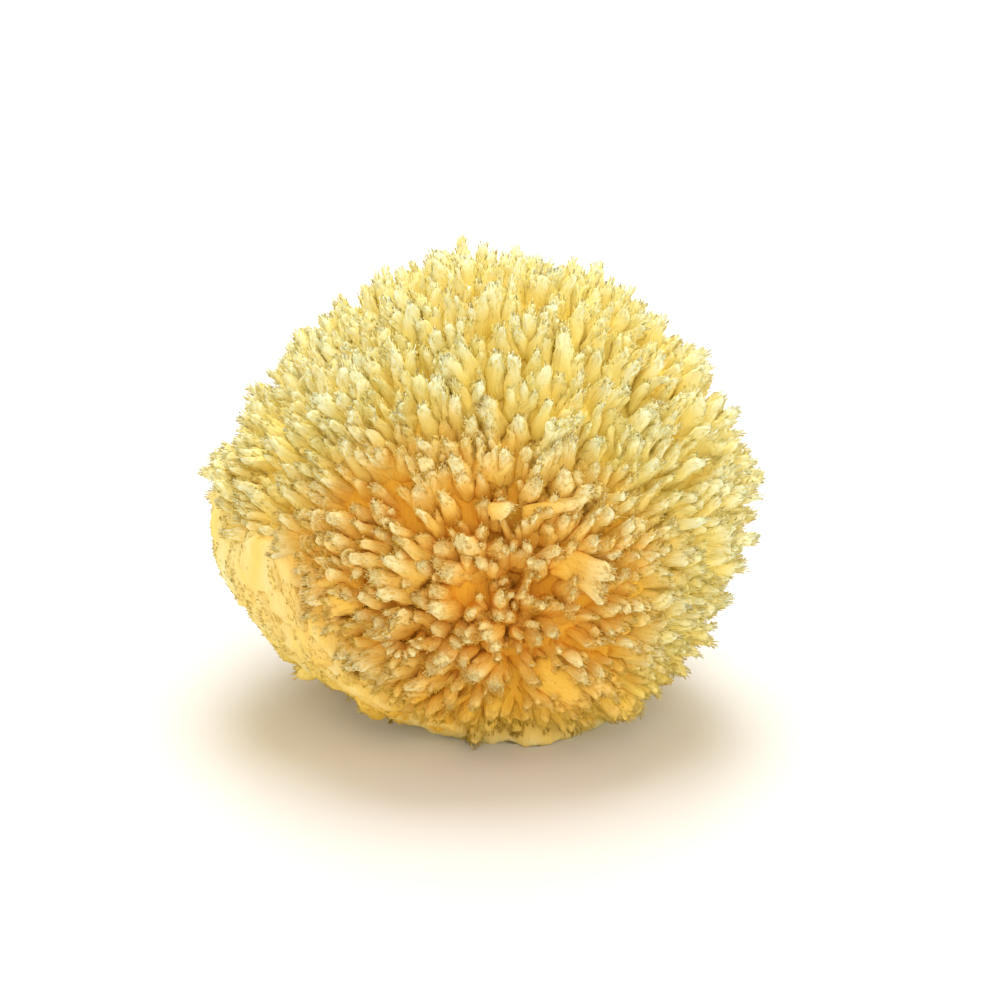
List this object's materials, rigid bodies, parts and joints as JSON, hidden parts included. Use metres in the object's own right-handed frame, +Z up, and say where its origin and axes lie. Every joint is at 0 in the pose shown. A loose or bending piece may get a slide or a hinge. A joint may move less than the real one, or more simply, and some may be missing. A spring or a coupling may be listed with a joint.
{
  "type": "sea sponge",
  "caption": "Natural bath sea sponge: a lobed ball of blunt fuzzy tufts, trimmed underneath to a flat cut that it rests on.",
  "frame": {"origin": "middle of the flat cut underneath, on the surface that the sponge rests on", "axes": "+Z up out of the cut, -Y towards the front that the picture shows, +X to the right seen from the front"},
  "size_m": [0.1424, 0.1346, 0.1205],
  "materials": {
    "dried_sponge": "matt, fibrous, pale yellow tips over amber hollows"
  },
  "bodies": {
    "root": {"sea_sponge": "dried_sponge"}
  },
  "joints": []
}
